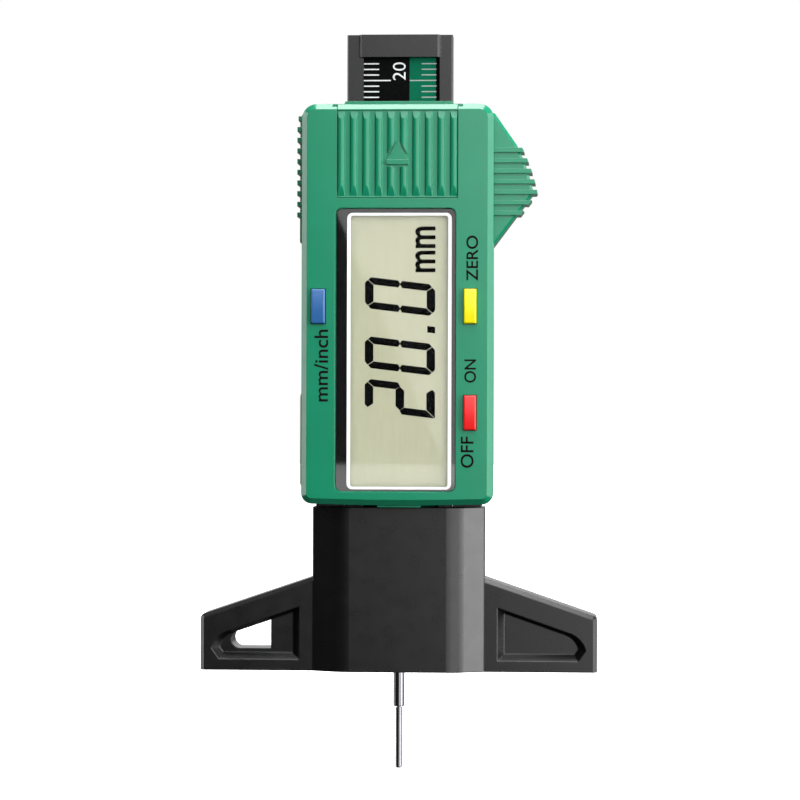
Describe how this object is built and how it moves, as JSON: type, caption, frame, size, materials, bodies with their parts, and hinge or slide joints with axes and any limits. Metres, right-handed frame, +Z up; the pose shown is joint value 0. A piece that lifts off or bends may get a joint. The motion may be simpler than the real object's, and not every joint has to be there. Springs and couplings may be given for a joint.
{
  "type": "tire tread depth gauge",
  "caption": "Digital tread depth gauge: a display housing on a T-shaped foot, with a sliding scaled beam that pushes a thin stepped steel probe out of the foot.",
  "frame": {"origin": "centre of the probe hole in the foot's flat measuring face", "axes": "+Z up along the beam and the probe, -Y out of the display, +X to the reader's right"},
  "size_m": [0.071, 0.0155, 0.1313],
  "materials": {
    "green_plastic": "satin moulded plastic",
    "display_window": "glossy, black printed border",
    "display_glass": "smooth pale liquid-crystal glass",
    "grey_plastic": "moulded",
    "rubber_strip": "striped conductive rubber",
    "board_laminate": "solder-masked laminate",
    "black_resin": "potting resin",
    "switch_plastic": "moulded",
    "blue_plastic": "glossy key",
    "yellow_plastic": "glossy key",
    "red_plastic": "glossy key",
    "cell_steel": "nickel-plated can",
    "contact_metal": "spring strip",
    "foot_plastic": "fine satin moulded plastic",
    "beam_plastic": "fine satin moulded plastic",
    "printed_label": "printed film with scale",
    "probe_steel": "ground",
    "screw_steel": "zinc plated",
    "bush_brass": "turned"
  },
  "bodies": {
    "housing": {"front_shell": "green_plastic", "rear_shell": "green_plastic", "display_lens": "display_window", "lcd_panel": "display_glass", "lcd_holder": "grey_plastic", "contact_rubber": "rubber_strip", "circuit_board": "board_laminate", "controller_chip": "black_resin", "key_switches": "switch_plastic", "button_cell": "cell_steel", "battery_contact_negative": "contact_metal", "battery_contact_positive": "contact_metal", "foot_body": "foot_plastic", "probe_bush": "bush_brass", "shell_screws": "screw_steel", "board_screws": "screw_steel", "beam_spring": "contact_metal"},
    "slider": {"beam": "beam_plastic", "stator_board": "board_laminate", "scale_label": "printed_label", "probe_shank": "probe_steel", "probe_pin": "probe_steel", "probe_set_screw": "screw_steel"},
    "mode_key": {"mode_button": "blue_plastic", "mode_plunger": "switch_plastic"},
    "zero_key": {"zero_button": "yellow_plastic", "zero_plunger": "switch_plastic"},
    "power_key": {"power_button": "red_plastic", "power_plunger": "switch_plastic"},
    "cover": {"battery_cover": "green_plastic"}
  },
  "joints": [
    {"name": "beam_slide", "type": "slide", "parent": "housing", "child": "slider", "axis": [0, 0, -1], "range_m": [-0.0176, 0.0078]},
    {"name": "mode_press", "type": "slide", "parent": "housing", "child": "mode_key", "axis": [0, 1, 0], "range_m": [0, 0.0006], "stiffness_N_per_m": 400, "springref_m": -0.0008},
    {"name": "zero_press", "type": "slide", "parent": "housing", "child": "zero_key", "axis": [0, 1, 0], "range_m": [0, 0.0006], "stiffness_N_per_m": 400, "springref_m": -0.0008},
    {"name": "power_press", "type": "slide", "parent": "housing", "child": "power_key", "axis": [0, 1, 0], "range_m": [0, 0.0006], "stiffness_N_per_m": 400, "springref_m": -0.0008},
    {"name": "cover_slide", "type": "slide", "parent": "housing", "child": "cover", "axis": [0, 0, 1], "range_m": [0, 0.0175]}
  ]
}
